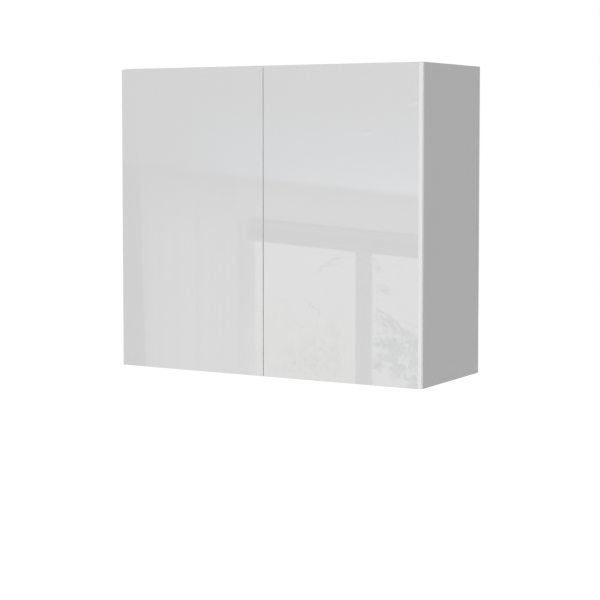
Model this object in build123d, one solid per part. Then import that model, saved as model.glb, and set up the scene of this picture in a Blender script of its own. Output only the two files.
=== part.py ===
from build123d import *
import os

# A frameless kitchen wall cabinet, 800 wide, 720 high and 300 deep, with two flat full-overlay doors.
# Units are millimetres. X runs to the right, +Y to the wall and +Z up. The origin is on the wall plane,
# at the middle of the wall rail's screw line, and the doors face -Y.

# Carcass
WIDTH = 800
HEIGHT = 720
DEPTH = 300
BOARD = 16
BAND = 1
TOP = 50

# Back panel in its grooves
BACK = 3
BACK_INSET = 17
GROOVE_WIDTH = 3.2
GROOVE_DEPTH = 8
BACK_EDGE_GAP = 0.5
CUTOUT_WIDTH = 19
CUTOUT_HEIGHT = 61

# Doors
DOOR_THICKNESS = 18
DOOR_SKIN = 1
DOOR_GAP = 1
REVEAL = 1.5
END_REVEAL = 2
CENTRE_GAP = 2
DOOR_ARRIS = 0.9

# Shelves on pins in rows of holes, 32 apart
SHELF_SIDE_GAP = 1
SHELF_REAR_GAP = 1
SHELF_SETBACK = 8
HOLE_PITCH = 32
HOLE_ROWS = (37, 229)
HOLE_COUNT = 12
HOLE_DEPTH = 9
SPARE_HOLE_COUNT = 2
PIN_R = 2.5
PIN_LENGTH = 8
PIN_COLLAR_R = 3.5
PIN_COLLAR = 0.8
PIN_TONGUE = 9
PIN_TONGUE_WIDTH = 8
PIN_TONGUE_THICK = 2
PIN_RIB = 5.5
PIN_RIB_WIDTH = 1.6

# Cam fittings and dowels that join the carcass
CAM_R = 7.5
CAM_HEIGHT = 12.5
CAM_INSET = 34
CAM_SETBACKS = (60, 240)
CAM_CROSS = 1.6
CAM_HOLLOW_R = 4.3
BOLT_THREAD_R = 2.5
BOLT_THREAD = 11
BOLT_SHANK_R = 3
BOLT_NECK_R = 2
BOLT_NECK = 3.6
BOLT_HEAD_R = 3.3
BOLT_HEAD = 2.6
BOLT_BORE_R = 3.5
CAP_R = 8.7
CAP_THICK = 1.2
DOWEL_R = 4
DOWEL_CHAMFER = 0.8
DOWEL_IN_SIDE = 10
DOWEL_IN_BOARD = 20
DOWEL_FROM_CAM = 32
FIT = 0.05

# Wall rail, with a lip that the hangers hook over
RAIL_END_GAP = 6
RAIL_STEEL = 1.5
RAIL_BELOW = 20
RAIL_BEND = 4
LIP_STANDOFF = 5
LIP_BEND = 2.5
LIP_TOP = 14
SLOT_PITCHES = (640, 256)
SLOT_LENGTH = 12
SLOT_R = 3.25

# Hangers in the upper rear corners
HANGER_WIDTH = 20
HANGER_DEPTH = 52
HANGER_HEIGHT = 62
HANGER_WALL = 1.5
HANGER_GUIDE = 2
HANGER_GUIDE_SETBACK = 17
HANGER_GUIDE_GAP = 1
HOOK = 3
HOOK_SLIP = 0.3
HOOK_FINGER = 2.5
HOOK_FINGER_GAP = 1.1
HOOK_FINGER_REACH = 5.4
HOOK_NECK = 5
HOOK_NOTCH_SLACK = 0.8
HOOK_TAIL_HEIGHT = 26
HOOK_TAIL_TOP = 16
HANGER_SCREW_R = 3
HANGER_SCREW_HEAD_R = 4.2
HANGER_SCREW_HEAD = 3
HANGER_SCREW = 36
HANGER_SCREW_OFFSET = 5
LIFT_SCREW_Z = 6
DRAW_SCREW_Z = -15
SPIGOT_R = 5
SPIGOT = 10
SPIGOT_ZS = (18, -16)
COVER = 2
COVER_HOLE_R = 3.6

# Cup hinges. Places in plan are (from the cabinet's outer side, from the carcass front, front negative).
HINGE_FROM_END = 100
CUP_R = 17.5
CUP_DEPTH = 14
CUP_INSET = 21
CUP_WALL = 0.8
CUP_FLOOR = 0.6
POCKET_HALF = 8.7
FLANGE = 0.7
FLANGE_RING = 1.4
FLANGE_WING_HALF = 28
FLANGE_WING_WIDTH = 13
FLANGE_WING_CORNER_R = 4.3
FLANGE_NOTCH = 12
CUP_SCREW_OFFSET = 9.5
CUP_SCREW_SPACING = 45
CUP_SCREW_R = 1.75
CUP_SCREW = 11
CUP_SCREW_HEAD_R = 3.4
CUP_SCREW_HEAD = 1.6
ARM_FRONT_PIVOT = (29.16, -4.91)
CUP_FRONT_PIVOT = (13.4, -7.03)
ARM_REAR_PIVOT = (27.0, 7.0)
CUP_REAR_PIVOT = (9.24, -5.04)
OUTER_LINK_BENDS = ((15.9, -10.3), (19.3, -12.8), (22.9, -12.6), (26.6, -11.3), (28.8, -8.4))
INNER_LINK_BENDS = ((10.2, -8.8), (13.4, -10.5), (16.6, -9.4), (20.8, -6.2))
LINK_BEND_R = 1.5
OUTER_LINK_HALF = 1.2
INNER_LINK_HALF = 1.3
LINK_EYE_R = 2.4
OUTER_LINK_INSIDE = 4.4
LINK_PLATE = 1.5
INNER_LINK_HALF_WIDTH = 3.5
OPEN_SLOT = 3.7
OPEN_SLOT_R = 2
OPEN_SLOT_SHIFT = -0.25
OPEN_EYE_WALL = 1.2
HINGE_PIN_R = 1.2
CUP_REAR_PIN_R = 1
CUP_FRONT_PIN_END = 10.2
CUP_REAR_PIN_HALF = 9.8
PIN_SLIP = 0.05
PIN_HEAD_R = 2
PIN_HEAD = 0.4
ARM_INSIDE = 6.4
ARM_STEEL = 1.5
ARM_NOSE_R = 2.5
ARM_LOW = 20
ARM_HIGH = 30
ARM_CHEEK_START = 5
ARM_WEB_START = 14.5
ARM_END = 62
ARM_CORNER_R = 2.5
PLATE_SETBACK = 37
PLATE_WIDTH = 20
PLATE_HALF = 26
PLATE_THICK = 1.6
PLATE_RIDGE_HALF = 6.2
PLATE_RIDGE = 42
PLATE_RIDGE_GAP = 0.2
PLATE_CORNER_R = 4
PLATE_SCREW_SPACING = 32
PLATE_SCREW_R = 2.5
PLATE_SCREW = 11
PLATE_SCREW_HEAD_R = 4.2
PLATE_SCREW_HEAD = 2
ARM_SCREW_SETBACKS = (27, 50)
ARM_SCREW_R = 2.5
ARM_SCREW = 9
ARM_SCREW_HEAD_R = 3.8
ARM_SCREW_HEAD = 2
CROSS_WIDTH = 0.9
CROSS_DEPTH = 1

# Push latches on the bottom panel, and what they meet on the doors
LATCH_X = 40
LATCH_LENGTH = 80
LATCH_WIDTH = 18
LATCH_BASE = 2
LATCH_SETBACK = 1
LATCH_EAR_WIDTH = 40
LATCH_EAR_LENGTH = 14
LATCH_CORNER_R = 3
BARREL_R = 6
BARREL_AXIS = 8.5
BARREL_CLOSED_END = 4
SADDLE_R = 7.5
SADDLE_END = 3
PLUNGER_R = 3.6
PLUNGER = 54
PLUNGER_SLIP = 0.1
MAGNET_R = 3.3
MAGNET = 2.5
MAGNET_GAP = 0.2
LATCH_SCREW_R = 2
LATCH_SCREW = 12
LATCH_SCREW_HEAD_R = 3.8
LATCH_SCREW_HEAD = 1.8
LATCH_SCREW_SPACING = 28
STRIKE_R = 7
STRIKE = 0.8
BUMPER_R = 4
BUMPER = 0.8
BUMPER_ROUND = 0.5
BUMPER_INSET = 8

# Places that follow from the sizes above
HALF = WIDTH / 2
INNER = HALF - BOARD
BOTTOM = TOP - HEIGHT
FRONT = -DEPTH
CEILING = TOP - BOARD
FLOOR = BOTTOM + BOARD
BACK_FRONT = -BACK_INSET - GROOVE_WIDTH
DOOR_TOP = TOP - END_REVEAL
DOOR_BOTTOM = BOTTOM + END_REVEAL
DOOR_BACK = FRONT - DOOR_GAP
DOOR_FACE = DOOR_BACK - DOOR_THICKNESS
HINGE_ZS = (DOOR_BOTTOM + HINGE_FROM_END, DOOR_TOP - HINGE_FROM_END)
CUP_U = REVEAL + CUP_INSET
CUP_V = -DOOR_GAP
MIDDLE = (CEILING + FLOOR) / 2
HOLE_ZS = [MIDDLE + (i - (HOLE_COUNT - 1) / 2) * HOLE_PITCH for i in range(HOLE_COUNT)]
PIN_ZS = (HOLE_ZS[SPARE_HOLE_COUNT], HOLE_ZS[-1 - SPARE_HOLE_COUNT])
SHELF_FRONT = FRONT + SHELF_SETBACK
SHELF_REAR = BACK_FRONT - SHELF_REAR_GAP
LATCH_Z = FLOOR + BARREL_AXIS
HANGER_X = -INNER + HANGER_WIDTH / 2
HANGER_REAR = BACK_FRONT - PIN_SLIP
HANGER_FRONT = HANGER_REAR - HANGER_DEPTH
HANGER_BOTTOM = CEILING - HANGER_HEIGHT
LIP_FRONT = -LIP_STANDOFF - RAIL_STEEL

os.makedirs("parts", exist_ok=True)


# Shapes used by many pieces

def block(x0, x1, y0, y1, z0, z1):
    """A box from its limits on each axis."""
    size = (abs(x1 - x0), abs(y1 - y0), abs(z1 - z0))
    return Pos((x0 + x1) / 2, (y0 + y1) / 2, (z0 + z1) / 2) * Box(*size)


def rod(radius, start, end):
    """A round bar between the centres of its two ends."""
    path = Vector(*end) - Vector(*start)
    seat = (Align.CENTER, Align.CENTER, Align.MIN)
    return Plane(origin=start, z_dir=path) * Cylinder(radius, path.length, align=seat)


def plan(point):
    """A hinge place, given from the cabinet's left side and its front, as x and y."""
    return (-HALF + point[0], FRONT + point[1])


def slab(outline, z0, z1):
    """A plan outline made solid between two heights."""
    return extrude(Plane.XY.offset(z0) * outline, z1 - z0)


def disc(point, radius):
    """A filled circle at a hinge place."""
    return Pos(*plan(point)) * Circle(radius)


def pair(piece):
    """A piece of the left half and its mirror image."""
    return [piece, mirror(piece, Plane.YZ)]


def both(pieces):
    """All pieces of the left half with their mirror images."""
    return [copy for piece in pieces for copy in pair(piece)]


def save(name, pieces):
    """Write one node as its separate solids."""
    if not isinstance(pieces, (list, tuple)):
        pieces = [pieces]
    solids = [solid for piece in pieces for solid in piece.solids()]
    export_step(Compound(solids), f"parts/{name}.step")


def screw(head_r, head, shank_r, length, seat, tip):
    """A screw whose head stands on seat and whose shank points to tip, with a cross recess."""
    way = (Vector(*tip) - Vector(*seat)).normalized()
    top = tuple(Vector(*seat) - way * head)
    end = tuple(Vector(*seat) + way * length)
    body = rod(head_r, top, seat) + rod(shank_r, seat, end)
    arms = Box(2 * CROSS_WIDTH, head_r, 2 * CROSS_DEPTH) + Box(head_r, 2 * CROSS_WIDTH, 2 * CROSS_DEPTH)
    return body - Plane(origin=top, z_dir=way) * arms


# Holes that several boards share

def side_bores():
    """Every bore in the left side panel, apart from the groove."""
    bores = []
    for setback in HOLE_ROWS:
        for z in HOLE_ZS:
            y = FRONT + setback
            bores.append(rod(PIN_R + FIT, (-INNER - HOLE_DEPTH, y, z), (-INNER, y, z)))
    for z in (CEILING + BOARD / 2, FLOOR - BOARD / 2):
        for setback in CAM_SETBACKS:
            y = -setback
            bores.append(rod(BOLT_THREAD_R + FIT, (-INNER - BOLT_THREAD, y, z), (-INNER, y, z)))
        for y in dowel_ys():
            bores.append(rod(DOWEL_R + FIT, (-INNER - DOWEL_IN_SIDE - FIT, y, z), (-INNER, y, z)))
    for z, y in plate_screw_places():
        bores.append(rod(PLATE_SCREW_R + FIT, (-INNER - PLATE_SCREW, y, z), (-INNER, y, z)))
    for z in SPIGOT_ZS:
        y = (HANGER_FRONT + HANGER_REAR) / 2
        bores.append(rod(SPIGOT_R + FIT, (-INNER - SPIGOT - FIT, y, z), (-INNER, y, z)))
    return bores


def dowel_ys():
    """The dowels stand inside the cams, one cam fitting each."""
    return (-CAM_SETBACKS[0] - DOWEL_FROM_CAM, -CAM_SETBACKS[1] + DOWEL_FROM_CAM)


def plate_screw_places():
    """Height and y of the four screws that hold the hinge plates of one side."""
    half = PLATE_SCREW_SPACING / 2
    return [(z + step, FRONT + PLATE_SETBACK) for z in HINGE_ZS for step in (-half, half)]


def latch_screw_places():
    """x and y of the left latch's two screws, one in each ear."""
    y = FRONT + LATCH_SETBACK + LATCH_LENGTH / 2
    half = LATCH_SCREW_SPACING / 2
    return (-LATCH_X - half, y), (-LATCH_X + half, y)


# Carcass boards

def side_panel():
    """The left side: full height, grooved for the back and drilled for shelves, hinges and fittings."""
    board = block(-HALF, -INNER, FRONT + BAND, 0, BOTTOM, TOP)
    board -= block(-INNER - GROOVE_DEPTH, -INNER, BACK_FRONT, -BACK_INSET, BOTTOM, TOP)
    return board - side_bores()


def cam_z(upper):
    """Height of the face that the cams are set in: the top panel's upper face, or the bottom's inner one."""
    return TOP if upper else FLOOR


def flat_panel(upper):
    """The top or the bottom, between the sides."""
    z0, z1 = (CEILING, TOP) if upper else (BOTTOM, FLOOR)
    inside = CEILING if upper else FLOOR
    groove_end = inside + (GROOVE_DEPTH if upper else -GROOVE_DEPTH)
    board = block(-INNER, INNER, FRONT + BAND, 0, z0, z1)
    board -= block(-INNER, INNER, BACK_FRONT, -BACK_INSET, inside, groove_end)
    face, middle = cam_z(upper), (z0 + z1) / 2
    bores = []
    for y in (-setback for setback in CAM_SETBACKS):
        x = -INNER + CAM_INSET
        bores.append(rod(CAM_R + FIT, (x, y, face - CAM_HEIGHT - FIT), (x, y, face)))
        bores.append(rod(BOLT_BORE_R, (-INNER, y, middle), (x, y, middle)))
    for y in dowel_ys():
        bores.append(rod(DOWEL_R + FIT, (-INNER, y, middle), (-INNER + DOWEL_IN_BOARD + FIT, y, middle)))
    if not upper:
        for x, y in latch_screw_places():
            bores.append(rod(LATCH_SCREW_R + FIT, (x, y, FLOOR - LATCH_SCREW), (x, y, FLOOR)))
    return board - both(bores)


def carcass_bands():
    """Edge bands on the front edges of the four carcass boards."""
    left = block(-HALF, -INNER, FRONT, FRONT + BAND, BOTTOM, TOP)
    top = block(-INNER, INNER, FRONT, FRONT + BAND, CEILING, TOP)
    bottom = block(-INNER, INNER, FRONT, FRONT + BAND, BOTTOM, FLOOR)
    return pair(left) + [top, bottom]


def back_panel():
    """Hardboard back in the grooves, cut away at both upper corners for the hanger hooks."""
    reach = GROOVE_DEPTH - BACK_EDGE_GAP
    slack = (GROOVE_WIDTH - BACK) / 2
    rear, front = -BACK_INSET - slack, BACK_FRONT + slack
    board = block(-INNER - reach, INNER + reach, front, rear, FLOOR - reach, CEILING + reach)
    x0, x1 = -INNER - reach, -INNER + CUTOUT_WIDTH
    corner = block(x0, x1, front, rear, CEILING - CUTOUT_HEIGHT, CEILING + reach)
    return board - pair(corner)


def shelf(pin_z):
    """A loose shelf that lies on the tongues of its four pins."""
    z0 = pin_z + PIN_R
    side = INNER - SHELF_SIDE_GAP
    return block(-side, side, SHELF_FRONT + BAND, SHELF_REAR, z0, z0 + BOARD)


def shelf_band(pin_z):
    """The edge band on a shelf's front edge."""
    z0 = pin_z + PIN_R
    side = INNER - SHELF_SIDE_GAP
    return block(-side, side, SHELF_FRONT, SHELF_FRONT + BAND, z0, z0 + BOARD)


def shelf_pin(y, z):
    """A pin with a collar and a flat tongue that the shelf lies on."""
    stem = rod(PIN_R, (-INNER - PIN_LENGTH, y, z), (-INNER, y, z))
    collar = rod(PIN_COLLAR_R, (-INNER, y, z), (-INNER + PIN_COLLAR, y, z))
    half = PIN_TONGUE_WIDTH / 2
    end = -INNER + PIN_TONGUE
    tongue = block(-INNER, end, y - half, y + half, z + PIN_R - PIN_TONGUE_THICK, z + PIN_R)
    half = PIN_RIB_WIDTH / 2
    rib = block(-INNER, -INNER + PIN_RIB, y - half, y + half, z - PIN_R, z + PIN_R)
    return stem + collar + tongue + rib


# Cam fittings and dowels

def cam(y, upper):
    """A cam housing with a cross recess, hollow where the bolt's head sits."""
    x, top = -INNER + CAM_INSET, cam_z(upper)
    middle = top - BOARD / 2
    body = rod(CAM_R, (x, y, top - CAM_HEIGHT), (x, y, top))
    hollow = rod(CAM_HOLLOW_R, (x, y, middle - CAM_HOLLOW_R), (x, y, middle + CAM_HOLLOW_R))
    channel = rod(BOLT_SHANK_R + FIT, (-INNER, y, middle), (x, y, middle))
    arm = CAM_R - CAM_CROSS
    cross = block(x - arm, x + arm, y - CAM_CROSS / 2, y + CAM_CROSS / 2, top - CAM_CROSS, top)
    cross += block(x - CAM_CROSS / 2, x + CAM_CROSS / 2, y - arm, y + arm, top - CAM_CROSS, top)
    return body - hollow - channel - cross


def cam_bolt(y, upper):
    """A bolt screwed into the side panel, whose head the cam pulls."""
    z = cam_z(upper) - BOARD / 2
    head = -INNER + CAM_INSET
    shoulder = head - BOLT_HEAD / 2 - BOLT_NECK
    thread = rod(BOLT_THREAD_R, (-INNER - BOLT_THREAD, y, z), (-INNER, y, z))
    shank = rod(BOLT_SHANK_R, (-INNER, y, z), (shoulder, y, z))
    neck = rod(BOLT_NECK_R, (shoulder, y, z), (head, y, z))
    button = rod(BOLT_HEAD_R, (head - BOLT_HEAD / 2, y, z), (head + BOLT_HEAD / 2, y, z))
    return thread + shank + neck + button


def cam_cap(y):
    """A push-in cap that hides a cam in the bottom panel."""
    x = -INNER + CAM_INSET
    return rod(CAP_R, (x, y, FLOOR), (x, y, FLOOR + CAP_THICK))


def dowel(y, upper):
    """A wooden dowel across the joint, chamfered at both ends."""
    z = cam_z(upper) - BOARD / 2
    bar = rod(DOWEL_R, (-INNER - DOWEL_IN_SIDE, y, z), (-INNER + DOWEL_IN_BOARD, y, z))
    return chamfer(bar.edges().filter_by(GeomType.CIRCLE), DOWEL_CHAMFER)


# Wall rail and hangers

def wall_rail():
    """A steel rail screwed to the wall through four slots, with its lip bent forward and up."""
    profile = [
        (0, -RAIL_BELOW), (0, RAIL_BEND + RAIL_STEEL), (-LIP_STANDOFF, RAIL_BEND + RAIL_STEEL + LIP_BEND),
        (-LIP_STANDOFF, LIP_TOP), (LIP_FRONT, LIP_TOP), (LIP_FRONT, RAIL_BEND + LIP_BEND),
        (-RAIL_STEEL, RAIL_BEND), (-RAIL_STEEL, -RAIL_BELOW),
    ]
    face = make_face(Polyline(*profile, close=True))
    end = INNER - RAIL_END_GAP
    bar = extrude(Plane.YZ.offset(-end) * face, 2 * end)
    slots = []
    for pitch in SLOT_PITCHES:
        slot = Plane.XZ * SlotOverall(SLOT_LENGTH, 2 * SLOT_R)
        slots += pair(Pos(-pitch / 2, 0, 0) * extrude(slot, 2 * RAIL_STEEL, both=True))
    return bar - slots


def hanger_housing():
    """A box in the upper rear corner, open to the back, with a slotted guide for the hook."""
    box = block(-INNER, -INNER + HANGER_WIDTH, HANGER_FRONT, HANGER_REAR, HANGER_BOTTOM, CEILING)
    w = HANGER_WALL
    hollow = block(
        -INNER + w, -INNER + HANGER_WIDTH - w, HANGER_FRONT + w, HANGER_REAR, HANGER_BOTTOM + w, CEILING - w
    )
    reach = HANGER_SCREW_R + HANGER_GUIDE_GAP
    z0, z1 = DRAW_SCREW_Z + reach, LIFT_SCREW_Z - reach
    y0 = HANGER_FRONT + HANGER_GUIDE_SETBACK
    y1 = y0 + HANGER_GUIDE
    half = HOOK / 2 + HOOK_SLIP
    guide = block(-INNER + w, -INNER + HANGER_WIDTH - w, y0, y1, z0, z1)
    guide -= block(HANGER_X - half, HANGER_X + half, y0, y1, z0, z1)
    housing = box - hollow + guide
    for x, z in hanger_screw_places():
        housing -= rod(HANGER_SCREW_R + PIN_SLIP, (x, HANGER_FRONT, z), (x, HANGER_FRONT + w, z))
    y = (HANGER_FRONT + HANGER_REAR) / 2
    return housing + [rod(SPIGOT_R, (-INNER - SPIGOT, y, z), (-INNER, y, z)) for z in SPIGOT_ZS]


def hanger_screw_places():
    """x and z of a hanger's lift screw and draw screw, one each side of the hook."""
    lift = (HANGER_X + HANGER_SCREW_OFFSET, LIFT_SCREW_Z)
    draw = (HANGER_X - HANGER_SCREW_OFFSET, DRAW_SCREW_Z)
    return lift, draw


def hanger_screw(place):
    """A screw in the hanger's front wall, its head outside."""
    x, z = place
    seat = (x, HANGER_FRONT, z)
    return screw(
        HANGER_SCREW_HEAD_R, HANGER_SCREW_HEAD, HANGER_SCREW_R, HANGER_SCREW, seat, (x, HANGER_REAR, z)
    )


def hanger_hook():
    """An upright steel plate that slides in the housing and drops over the rail's lip."""
    finger_front = -LIP_STANDOFF + HOOK_FINGER_GAP
    finger_rear = finger_front + HOOK_FINGER
    notch_front = LIP_FRONT - HOOK_NOTCH_SLACK
    tail_front = HANGER_FRONT + HANGER_WALL + HANGER_SCREW_HEAD
    tail_bottom = HOOK_TAIL_TOP - HOOK_TAIL_HEIGHT
    top = LIP_TOP + HOOK_NECK
    outline = [
        (tail_front, tail_bottom), (HANGER_REAR, tail_bottom), (HANGER_REAR, RAIL_BEND),
        (notch_front, RAIL_BEND), (notch_front, LIP_TOP), (finger_front, LIP_TOP),
        (finger_front, LIP_TOP - HOOK_FINGER_REACH), (finger_rear, LIP_TOP - HOOK_FINGER_REACH),
        (finger_rear, top), (HANGER_REAR, top), (HANGER_REAR - HOOK_NECK, HOOK_TAIL_TOP),
        (tail_front, HOOK_TAIL_TOP),
    ]
    face = make_face(Polyline(*outline, close=True))
    return extrude(Plane.YZ.offset(HANGER_X - HOOK / 2) * face, HOOK)


def hanger_cover():
    """A clip-on cover over the housing's front, with a round opening for each screw."""
    rear = HANGER_FRONT - HANGER_SCREW_HEAD - PIN_SLIP
    side = -INNER + HANGER_WIDTH
    cover = block(-INNER, side + COVER, rear - COVER, rear, HANGER_BOTTOM, CEILING)
    cover += block(side, side + COVER, rear, HANGER_FRONT + HANGER_DEPTH / 2, HANGER_BOTTOM, CEILING)
    for x, z in hanger_screw_places():
        cover -= rod(COVER_HOLE_R, (x, rear - COVER, z), (x, rear, z))
    return cover


# Doors

def door_box(inset, y0, y1):
    """A door-sized box of the left door, drawn in by inset at its four edges."""
    x0, x1 = -HALF + REVEAL, -CENTRE_GAP / 2
    return block(x0 + inset, x1 - inset, y0, y1, DOOR_BOTTOM + inset, DOOR_TOP - inset)


def door_core():
    """The door's board, drilled for the two cups and their screws."""
    board = door_box(BAND, DOOR_FACE + DOOR_SKIN, DOOR_BACK)
    for z in HINGE_ZS:
        x, y = plan((CUP_U, CUP_V))
        board -= rod(CUP_R + FIT, (x, y - CUP_DEPTH - FIT, z), (x, y, z))
        for sx, sz in cup_screw_places(z):
            board -= rod(CUP_SCREW_R + FIT, (sx, DOOR_BACK - CUP_SCREW, sz), (sx, DOOR_BACK, sz))
    return board


def door_front():
    """The glossy sheet on the door's face."""
    return door_box(BAND, DOOR_FACE, DOOR_FACE + DOOR_SKIN)


def door_band():
    """The edge band round the door's four edges, its corners eased at the front and the back."""
    ring = door_box(0, DOOR_FACE, DOOR_BACK)
    faces = ring.faces().sort_by(Axis.Y)
    ring = fillet(faces[0].edges() + faces[-1].edges(), DOOR_ARRIS)
    return ring - door_box(BAND, DOOR_FACE, DOOR_BACK)


def bumper(z):
    """A clear stick-on bumper near the door's free edge."""
    x, y = -CENTRE_GAP / 2 - BUMPER_INSET, DOOR_BACK
    dome = rod(BUMPER_R, (x, y, z), (x, y + BUMPER, z))
    return fillet(dome.edges().filter_by(GeomType.CIRCLE).sort_by(Axis.Y)[-1], BUMPER_ROUND)


def strike_plate():
    """The steel disc that the latch's magnet holds."""
    return rod(STRIKE_R, (-LATCH_X, DOOR_BACK, LATCH_Z), (-LATCH_X, DOOR_BACK + STRIKE, LATCH_Z))


# Cup hinges

def cup_screw_places(z):
    """x and z of the two screws in one cup's wings."""
    x = plan((CUP_U + CUP_SCREW_OFFSET, CUP_V))[0]
    half = CUP_SCREW_SPACING / 2
    return (x, z - half), (x, z + half)


def hinge_cup(z):
    """A pressed cup let into the door, with screw wings, and open where the links fold out."""
    x, y = plan((CUP_U, CUP_V))
    cup = rod(CUP_R, (x, y - CUP_DEPTH, z), (x, y, z))
    cup += rod(CUP_R + FLANGE_RING, (x, y, z), (x, y + FLANGE, z))
    wing = Box(FLANGE_WING_WIDTH, FLANGE, 2 * FLANGE_WING_HALF)
    wing = fillet(wing.edges().filter_by(Axis.Y), FLANGE_WING_CORNER_R)
    cup += Pos(x + CUP_SCREW_OFFSET, y + FLANGE / 2, z) * wing
    pocket = rod(CUP_R - CUP_WALL, (x, y - CUP_DEPTH + CUP_FLOOR, z), (x, y + FLANGE, z))
    reach = CUP_R + FLANGE_RING
    pocket &= block(x - reach, x + reach, y - CUP_DEPTH, y + FLANGE, z - POCKET_HALF, z + POCKET_HALF)
    cup -= pocket
    cup -= block(x - reach, x - reach + FLANGE_NOTCH, y, y + FLANGE, z - POCKET_HALF, z + POCKET_HALF)
    for sx, sz in cup_screw_places(z):
        cup -= rod(CUP_SCREW_R + FIT, (sx, y, sz), (sx, y + FLANGE, sz))
    return cup - cup_pins(z)


def pin(place, radius, z0, z1):
    """A hinge pin along Z at a hinge place."""
    x, y = plan(place)
    return rod(radius, (x, y, z0), (x, y, z1))


def cup_pins(z):
    """Two short pins for the outer link and one long one for the inner link, pressed into the cup."""
    low, high = OUTER_LINK_INSIDE, CUP_FRONT_PIN_END
    stubs = [pin(CUP_FRONT_PIVOT, HINGE_PIN_R, z + way * low, z + way * high) for way in (-1, 1)]
    return stubs + [pin(CUP_REAR_PIVOT, CUP_REAR_PIN_R, z - CUP_REAR_PIN_HALF, z + CUP_REAR_PIN_HALF)]


def arm_pins(z):
    """Two short pins for the outer link, and one across both cheeks for the inner link."""
    outside = ARM_INSIDE + ARM_STEEL
    stubs = []
    bar = pin(ARM_REAR_PIVOT, HINGE_PIN_R, z - outside, z + outside)
    for way in (-1, 1):
        seat, end = z + way * outside, z + way * (outside + PIN_HEAD)
        stub = pin(ARM_FRONT_PIVOT, HINGE_PIN_R, z + way * OUTER_LINK_INSIDE, seat)
        stubs.append(stub + pin(ARM_FRONT_PIVOT, PIN_HEAD_R, seat, end))
        bar += pin(ARM_REAR_PIVOT, PIN_HEAD_R, seat, end)
    return stubs + [bar]


def band(points, half):
    """A bent strip of even thickness through hinge places, in plan."""
    return trace(FilletPolyline(*[plan(p) for p in points], radius=LINK_BEND_R), 2 * half)


def outer_links(z):
    """The two bent plates of one hinge's outer link."""
    outline = band((CUP_FRONT_PIVOT, *OUTER_LINK_BENDS, ARM_FRONT_PIVOT), OUTER_LINK_HALF)
    outline += [disc(CUP_FRONT_PIVOT, LINK_EYE_R), disc(ARM_FRONT_PIVOT, LINK_EYE_R)]
    outline -= [disc(place, HINGE_PIN_R + PIN_SLIP) for place in (CUP_FRONT_PIVOT, ARM_FRONT_PIVOT)]
    low, high = OUTER_LINK_INSIDE, OUTER_LINK_INSIDE + LINK_PLATE
    return [slab(outline, z + low, z + high), slab(outline, z - high, z - low)]


def inner_link(z):
    """The inner link, hooked to clear the door's edge, with a slotted eye at the arm."""
    outline = band((CUP_REAR_PIVOT, *INNER_LINK_BENDS, ARM_REAR_PIVOT), INNER_LINK_HALF)
    slot = Pos(*plan(ARM_REAR_PIVOT)) * Pos(OPEN_SLOT_SHIFT, 0) * Rot(0, 0, 90)
    wall = OPEN_SLOT_R + OPEN_EYE_WALL
    outline += slot * SlotCenterToCenter(OPEN_SLOT, 2 * wall)
    outline += disc(CUP_REAR_PIVOT, CUP_REAR_PIN_R + PIN_SLIP + OPEN_EYE_WALL)
    outline -= slot * SlotCenterToCenter(OPEN_SLOT, 2 * OPEN_SLOT_R)
    outline -= disc(CUP_REAR_PIVOT, CUP_REAR_PIN_R + PIN_SLIP)
    return slab(outline, z - INNER_LINK_HALF_WIDTH, z + INNER_LINK_HALF_WIDTH)


def hinge_arm(z):
    """A channel over the mounting plate, whose two cheeks reach into the cup as a nose."""
    outside = ARM_INSIDE + ARM_STEEL
    x0, y0 = plan((ARM_LOW, ARM_CHEEK_START))
    x1, y1 = plan((ARM_HIGH, ARM_END))
    cheek = Pos((x0 + x1) / 2, (y0 + y1) / 2) * RectangleRounded(x1 - x0, y1 - y0, ARM_CORNER_R)
    nose_line = Line(plan(ARM_FRONT_PIVOT), plan(ARM_REAR_PIVOT))
    cheek += trace(nose_line, 2 * ARM_NOSE_R)
    cheek += [disc(ARM_FRONT_PIVOT, ARM_NOSE_R), disc(ARM_REAR_PIVOT, ARM_NOSE_R)]
    arm = slab(cheek, z + ARM_INSIDE, z + outside) + slab(cheek, z - outside, z - ARM_INSIDE)
    web_y = plan((0, ARM_WEB_START))[1]
    arm += block(x1 - ARM_STEEL, x1, web_y, y1 - ARM_CORNER_R, z - outside, z + outside)
    for setback in ARM_SCREW_SETBACKS:
        y = FRONT + setback
        arm -= rod(ARM_SCREW_R + FIT, (x1 - ARM_STEEL, y, z), (x1, y, z))
    return arm - arm_pins(z)


def arm_screws(z):
    """The two screws that set and clamp an arm on its plate."""
    x = -HALF + ARM_HIGH
    places = [(x, FRONT + setback, z) for setback in ARM_SCREW_SETBACKS]
    return [
        screw(ARM_SCREW_HEAD_R, ARM_SCREW_HEAD, ARM_SCREW_R, ARM_SCREW, place, (-HALF, place[1], z))
        for place in places
    ]


def hinge_plate(z):
    """A winged plate on the side panel with the ridge that the arm sits over."""
    y = FRONT + PLATE_SETBACK
    wing = Box(PLATE_THICK, PLATE_WIDTH, 2 * PLATE_HALF)
    wing = fillet(wing.edges().filter_by(Axis.X), PLATE_CORNER_R)
    plate = Pos(-INNER + PLATE_THICK / 2, y, z) * wing
    ridge_top = -HALF + ARM_HIGH - ARM_STEEL - PLATE_RIDGE_GAP
    half = PLATE_RIDGE_HALF
    plate += block(-INNER, ridge_top, y - PLATE_RIDGE / 2, y + PLATE_RIDGE / 2, z - half, z + half)
    for setback in ARM_SCREW_SETBACKS:
        sy = FRONT + setback
        plate -= rod(ARM_SCREW_R + FIT, (-HALF + ARM_HIGH - ARM_SCREW - FIT, sy, z), (ridge_top, sy, z))
    for step in (-PLATE_SCREW_SPACING / 2, PLATE_SCREW_SPACING / 2):
        sz = z + step
        plate -= rod(PLATE_SCREW_R + FIT, (-INNER, y, sz), (-INNER + PLATE_THICK, y, sz))
    return plate


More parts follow.
